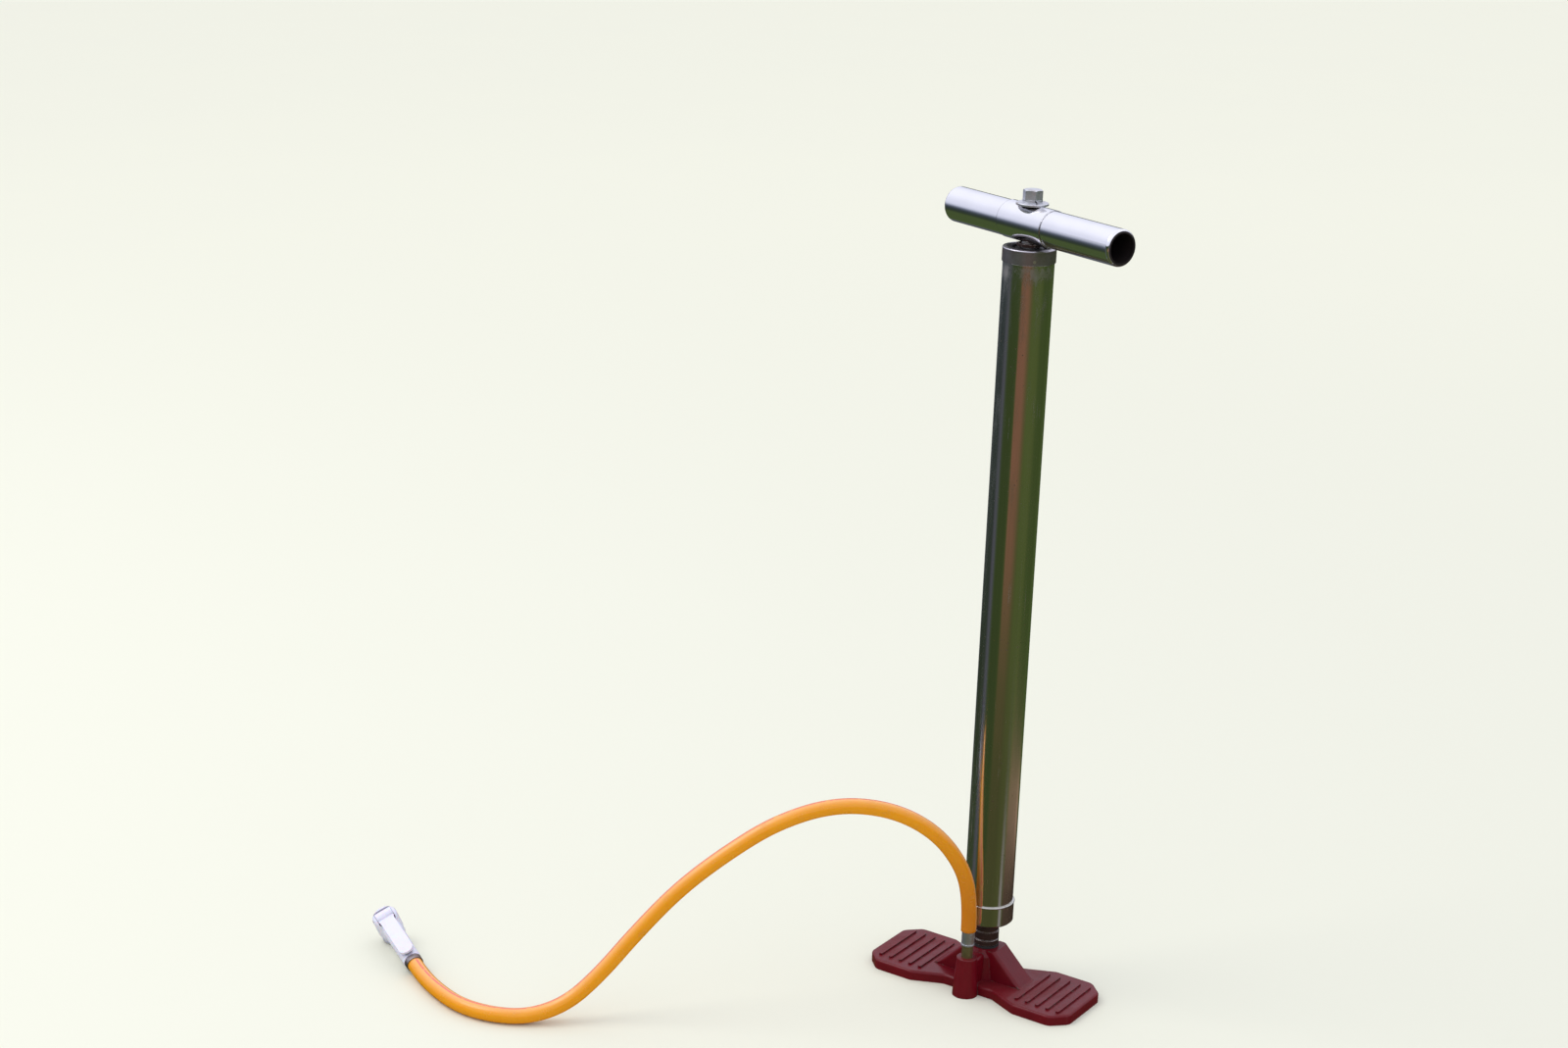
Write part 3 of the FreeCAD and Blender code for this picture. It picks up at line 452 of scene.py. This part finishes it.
def dull_nickel():
    """The top cap: dull plate, brown with tarnish, with turning marks, a painted highlight on its top
    rim and painted shade in its recess.
    """
    f = Finish("dull_nickel", metallic=1.0)
    at = f.coords()
    clouds = f.noise(at, 75, 5, 0.62)
    grain = f.noise(at, 900, 3, 0.6, (1, 1, 0.4))
    tarnish = f.patches(at, 46, 0.44, 0.62, 4, 0.6)
    # painted highlight: the top of the rim made lighter where light falls on it
    painted_rim_highlight = f.steps(f.split(at)[2], *CAP_RIM_HIGHLIGHT_Z)
    # painted shade: the recess round the rod darkened
    painted_recess_shade = f.steps(f.from_barrel_axis(at), *CAP_RECESS_SHADE_R)
    turned = f.add("ShaderNodeTexWave", {"Vector": at, "Scale": 900.0, "Distortion": 1.5},
                   bands_direction="Z").outputs["Fac"]
    tint = f.mix(clouds, (0.265, 0.238, 0.238), (0.46, 0.425, 0.435))
    tint = f.mix(f.times(tarnish, 0.75), tint, (0.20, 0.125, 0.095))
    tint = f.mix(f.times(painted_rim_highlight, 0.8), tint, (0.62, 0.60, 0.66))
    tint = f.mix(painted_recess_shade, tint, (0.10, 0.09, 0.095))
    f.set(base_color=tint,
          roughness=f.weighted(0.30, (clouds, 0.16), (tarnish, 0.12), (painted_rim_highlight, -0.08), (painted_recess_shade, 0.2)),
          normal=f.bump(f.weighted(grain, (turned, 0.3)), 0.14, 0.0002))
    return f.material


def dark_steel():
    """Blackened steel, oily and brown, rubbed bright along its edges."""
    f = Finish("dark_steel")
    at = f.coords()
    wear = f.times(f.edge_wear(0.0006), f.patches(at, 240, 0.30, 0.5, 3))
    grime = f.noise(at, 120, 5, 0.65)
    tint = f.mix(grime, (0.022, 0.012, 0.010), (0.085, 0.045, 0.035))
    f.set(base_color=f.mix(wear, tint, (0.80, 0.78, 0.76)),
          metallic=f.weighted(0.55, (wear, 0.45)),
          roughness=f.weighted(0.34, (grime, 0.25), (wear, -0.18)),
          normal=f.bump(f.noise(at, 800, 3), 0.15, 0.0002))
    return f.material


def bright_steel():
    """Ground steel with fine marks round it and a thin film of oil; dark at the rod's top end inside
    the handle, partly dirt and partly painted shade.
    """
    f = Finish("bright_steel", metallic=1.0)
    at = f.coords()
    marks = f.noise(at, 1.0, 3, 0.6, (60, 60, 5000))
    film = f.noise(at, 40, 4)
    # dirt and painted shade darken the rod's top end inside the handle
    dirt_and_shade = f.steps(f.split(at)[2], *ROD_DIRT_AND_SHADE_Z)
    tint = f.mix(film, (0.58, 0.57, 0.55), (0.74, 0.74, 0.75))
    f.set(base_color=f.mix(dirt_and_shade, tint, (0.020, 0.014, 0.012)),
          roughness=f.weighted(0.20, (marks, 0.12), (film, 0.10), (dirt_and_shade, 0.5)),
          metallic=f.weighted(1.0, (dirt_and_shade, -0.8)),
          normal=f.bump(marks, 0.08, 0.0001))
    return f.material


def tarnished_brass():
    """Brown and olive brass, greener in patches."""
    f = Finish("tarnished_brass", metallic=0.85)
    at = f.coords()
    film = f.noise(at, 130, 5, 0.6)
    green = f.patches(at, 60, 0.5, 0.66, 3)
    tint = f.mix(film, (0.16, 0.13, 0.05), (0.38, 0.33, 0.16))
    f.set(base_color=f.mix(f.times(green, 0.5), tint, (0.11, 0.13, 0.07)),
          roughness=f.weighted(0.30, (film, 0.2)), normal=f.bump(film, 0.15, 0.0002))
    return f.material


def foot_paint():
    """Crimson paint over a rough casting, chipped to dark iron on its edges, dusty on top."""
    f = Finish("foot_paint", specular_ior_level=0.20, coat_weight=0.18, coat_roughness=0.10)
    at = f.coords()
    cast = f.noise(at, 420, 4, 0.6)
    waves = f.noise(at, 70, 3)
    chips = f.times(f.edge_wear(0.0013), f.patches(at, 210, 0.50, 0.60, 4, 0.7))
    spots = f.times(f.patches(at, 330, 0.70, 0.74, 4, 0.7), f.patches(at, 40, 0.5, 0.62, 2))
    bare = f.maths("MAXIMUM", chips, spots)
    up = f.split(f.add("ShaderNodeNewGeometry").outputs["Normal"])[2]
    dust = f.times(f.steps(up, 0.55, 1.0), f.patches(at, 30, 0.42, 0.72, 5, 0.65))
    paint = f.mix(waves, (0.098, 0.0012, 0.0050), (0.158, 0.0028, 0.0095))
    paint = f.mix(f.times(dust, 0.08), paint, (0.16, 0.08, 0.055))
    iron = f.mix(cast, (0.05, 0.035, 0.03), (0.14, 0.10, 0.085))
    height = f.weighted(0.0, (cast, 0.7), (waves, 2.0), (bare, -0.8))
    f.set(base_color=f.mix(bare, paint, iron),
          roughness=f.weighted(0.28, (cast, 0.12), (dust, 0.3), (bare, 0.3)),
          normal=f.bump(height, 0.35, 0.0005))
    return f.material


def black_rubber():
    """Matt rubber with a grey bloom."""
    f = Finish("black_rubber", specular_ior_level=0.35)
    at = f.coords()
    bloom = f.noise(at, 90, 4, 0.6)
    f.set(base_color=f.mix(bloom, (0.012, 0.012, 0.013), (0.045, 0.043, 0.042)),
          roughness=f.weighted(0.50, (bloom, 0.25)),
          normal=f.bump(f.noise(at, 1200, 3), 0.2, 0.0002))
    return f.material


def black_plastic():
    """The guide bush's satin plastic, with fine marks."""
    f = Finish("bush_plastic", specular_ior_level=0.5)
    at = f.coords()
    marks = f.noise(at, 300, 4, 0.6)
    f.set(base_color=f.mix(marks, (0.010, 0.009, 0.012), (0.035, 0.032, 0.038)),
          roughness=f.weighted(0.28, (marks, 0.2)), normal=f.bump(marks, 0.12, 0.0002))
    return f.material


def cup_leather():
    """Oiled leather with pores."""
    f = Finish("cup_leather", specular_ior_level=0.4)
    at = f.coords()
    oil = f.noise(at, 60, 4)
    f.set(base_color=f.mix(oil, (0.09, 0.045, 0.02), (0.26, 0.14, 0.06)),
          roughness=f.weighted(0.45, (oil, 0.2)),
          normal=f.bump(f.cells(at, 900), 0.35, 0.0003))
    return f.material


def hose_rubber():
    """Orange hose, darkened near the foot as painted shade, with a painted highlight in a band along
    its outside and a fine pink line along it.

    U runs round the hose and V along it, in metres.
    """
    f = Finish("hose_rubber", specular_ior_level=0.55,
               subsurface_weight=0.10, subsurface_scale=0.003)
    at = f.coords()
    place = f.split(f.add("ShaderNodeUVMap", uv_map="hose").outputs[0])
    line = f.window(place[0], 0.480, 0.520, 0.006)
    # painted highlight: a peach band on each side of the line, on the arch's outside
    painted_highlight_band = f.window(place[0], 0.40, 0.60, 0.06)
    breaks = f.patches(at, 130, 0.30, 0.42, 3)
    bloom = f.noise(at, 36, 4, 0.6)
    dirt = f.times(f.patches(at, 85, 0.55, 0.75, 5, 0.7), 0.35)
    # painted shade: the hose darkened over its first 0.125 m from the foot
    painted_shade_near_foot = f.steps(place[1], 0.0, 0.125, 1, 0)
    orange = f.mix(bloom, (0.80, 0.298, 0.001), (0.90, 0.362, 0.004))
    orange = f.mix(f.times(painted_shade_near_foot, 0.80), orange, (0.49, 0.135, 0.0005))
    orange = f.mix(f.times(painted_highlight_band, 0.50), orange, (0.98, 0.53, 0.23))
    orange = f.mix(f.times(line, breaks, 0.85), orange, (0.80, 0.13, 0.12))
    orange = f.mix(dirt, orange, (0.50, 0.20, 0.012))
    ribs = f.add("ShaderNodeTexWave", {"Vector": f.combine(place[0], 0.0, 0.0), "Scale": 18.0},
                 bands_direction="X").outputs["Fac"]
    height = f.weighted(0.0, (ribs, 0.25), (f.noise(at, 900, 3), 0.3), (line, 0.5))
    f.set(base_color=orange, roughness=f.weighted(0.20, (bloom, 0.10), (dirt, 0.4)),
          normal=f.bump(height, 0.16, 0.0003))
    return f.material


def white_plastic():
    """Moulded white plastic, a little lilac, with painted shade greying its corners and creases, and
    scuffed.
    """
    f = Finish("white_plastic", specular_ior_level=0.45,
               subsurface_weight=0.15, subsurface_scale=0.0025)
    at = f.coords()
    # painted shade: occlusion greys the plastic in its corners and between parts
    openness = f.add("ShaderNodeAmbientOcclusion", {"Distance": 0.006}, samples=4).outputs["AO"]
    grime = f.times(f.steps(openness, 0.30, 0.85, 1, 0), 0.55)
    clouds = f.noise(at, 110, 4, 0.6)
    scuffs = f.times(f.patches(at, 190, 0.60, 0.72, 4, 0.7), 0.35)
    shade = f.mix(clouds, (0.74, 0.725, 0.85), (0.82, 0.81, 0.92))
    shade = f.mix(grime, shade, (0.22, 0.20, 0.25))
    shade = f.mix(scuffs, shade, (0.60, 0.57, 0.63))
    f.set(base_color=shade, roughness=f.weighted(0.36, (clouds, 0.1), (scuffs, 0.4)),
          normal=f.bump(f.noise(at, 1300, 2), 0.06, 0.0002))
    return f.material


def finish_nodes():
    """Gives every CAD node its material, and returns the materials by slot."""
    finishes = {
        "red_paint": foot_paint(),
        "zinc_steel": zinc(),
        "bright_steel": bright_steel(),
        "dark_steel": dark_steel(),
        "barrel_chrome": barrel_plating(),
        "handle_chrome": handle_plating(),
        "dull_nickel": dull_nickel(),
        "black_rubber": black_rubber(),
        "black_plastic": black_plastic(),
        "cup_leather": cup_leather(),
        "olive_brass": tarnished_brass(),
        "orange_rubber": hose_rubber(),
        "white_plastic": white_plastic(),
    }
    slots = {part["node"]: part["material_slot"] for part in frame["record"]["subparts"]}
    for name, node in frame["nodes"].items():
        node.data.materials.clear()
        node.data.materials.append(finishes[slots[name]])
    return finishes


# ---------------------------------------------------------------- hose

def hose_line():
    """Points along the smooth line that the hose follows."""
    data = bpy.data.curves.new("hose_route", "CURVE")
    data.dimensions = "3D"
    spline = data.splines.new("NURBS")
    spline.points.add(len(HOSE_ROUTE) - 1)
    for point, corner in zip(spline.points, HOSE_ROUTE):
        point.co = (*(c * MM for c in corner), 1.0)
    spline.order_u = 3
    spline.use_endpoint_u = True
    spline.resolution_u = 24
    route = bpy.data.objects.new("hose_route", data)
    bpy.context.scene.collection.objects.link(route)
    line = bpy.data.meshes.new_from_object(route)
    points = [v.co.copy() for v in line.vertices]
    bpy.data.objects.remove(route)
    bpy.data.meshes.remove(line)
    return points


def directions(points):
    out = []
    for i in range(len(points)):
        ahead = points[min(i + 1, len(points) - 1)] - points[max(i - 1, 0)]
        out.append(ahead.normalized())
    return out


def carried_sides(points, first):
    """The direction along the line and a sideways one at each point, carried without twist."""
    along = directions(points)
    side = (first - first.dot(along[0]) * along[0]).normalized()
    sides = [side]
    for i in range(1, len(points)):
        turn = along[i - 1].rotation_difference(along[i])
        side = turn @ side
        side = (side - side.dot(along[i]) * along[i]).normalized()
        sides.append(side)
    return along, sides


def tube_mesh(name, points, radius, first, segments):
    """A closed tube along points, with a UV map: U round it and V along it in metres."""
    along, sides = carried_sides(points, first)
    verts, faces, uvs = [], [], []
    lengths = [0.0]
    for a, b in zip(points, points[1:]):
        lengths.append(lengths[-1] + (b - a).length)
    for point, forward, side in zip(points, along, sides):
        other = forward.cross(side)
        for k in range(segments):
            # U is 0.5 on the side that first points to
            angle = 2 * math.pi * k / segments - math.pi
            verts.append(point + radius * (math.cos(angle) * side + math.sin(angle) * other))
    for i in range(len(points) - 1):
        for k in range(segments):
            a = i * segments + k
            b = i * segments + (k + 1) % segments
            faces.append((a, b, b + segments, a + segments))
            u0, u1 = k / segments, (k + 1) / segments
            v0, v1 = lengths[i], lengths[i + 1]
            uvs += [(u0, v0), (u1, v0), (u1, v1), (u0, v1)]
    last = (len(points) - 1) * segments
    faces.append(tuple(reversed(range(segments))))
    faces.append(tuple(range(last, last + segments)))
    uvs += [(0.0, 0.0)] * (2 * segments)
    mesh = bpy.data.meshes.new(name)
    mesh.from_pydata([tuple(v) for v in verts], [], faces)
    layer = mesh.uv_layers.new(name="hose")
    for loop, uv in zip(layer.data, uvs):
        loop.uv = uv
    mesh.polygons.foreach_set("use_smooth", [len(p.vertices) == 4 for p in mesh.polygons])
    mesh.update()
    return mesh


def make_hose(finish):
    points = hose_line()
    mesh = tube_mesh("hose_tube", points, HOSE_R * MM, HOSE_OUTSIDE, HOSE_SIDES)
    hose = bpy.data.objects.new("hose_tube", mesh)
    bpy.context.scene.collection.objects.link(hose)
    mesh.materials.append(finish)
    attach(hose, "pump_body")
    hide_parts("hose")


# ---------------------------------------------------------------- build

make_camera()
make_world()
make_floor()
make_light("softbox", (-1.6, -1.2, 2.6), (0, 0, 0.3), 1.6, 22, (1.0, 0.99, 0.97))
finishes = finish_nodes()
make_hose(finishes["orange_rubber"])

bpy.context.scene.view_settings.view_transform = "Standard"
